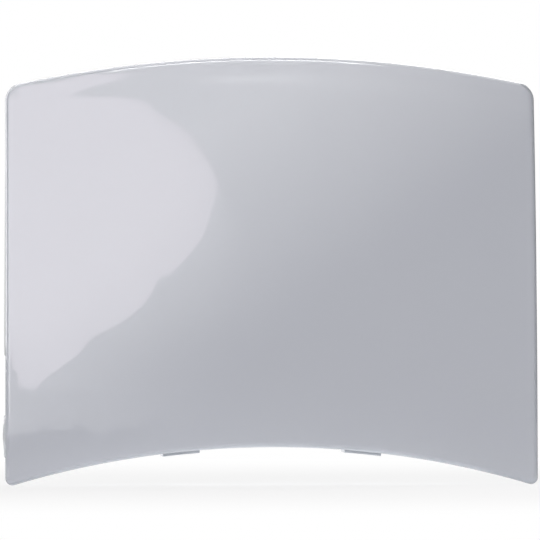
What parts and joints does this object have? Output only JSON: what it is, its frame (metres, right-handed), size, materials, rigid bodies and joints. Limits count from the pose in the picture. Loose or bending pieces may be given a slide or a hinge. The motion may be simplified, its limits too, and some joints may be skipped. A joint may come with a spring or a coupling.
{
  "type": "washing machine door handle",
  "caption": "Glossy plastic door handle shaped as a ring sector: crowned front plate, ribbed back, tapering side walls, pivot lugs with stub pins, and fingers behind its concave edge.",
  "frame": {"origin": "middle of the pivot axis, between the two stub pins", "axes": "+X along the pivot axis, -Y out of the front face, +Z from the pivot towards the convex grip edge"},
  "size_m": [0.1004, 0.0172, 0.0803],
  "materials": {
    "glossy_plastic": "glossy moulded plastic, pale grey-white"
  },
  "bodies": {
    "root": {"door_handle": "glossy_plastic"}
  },
  "joints": []
}
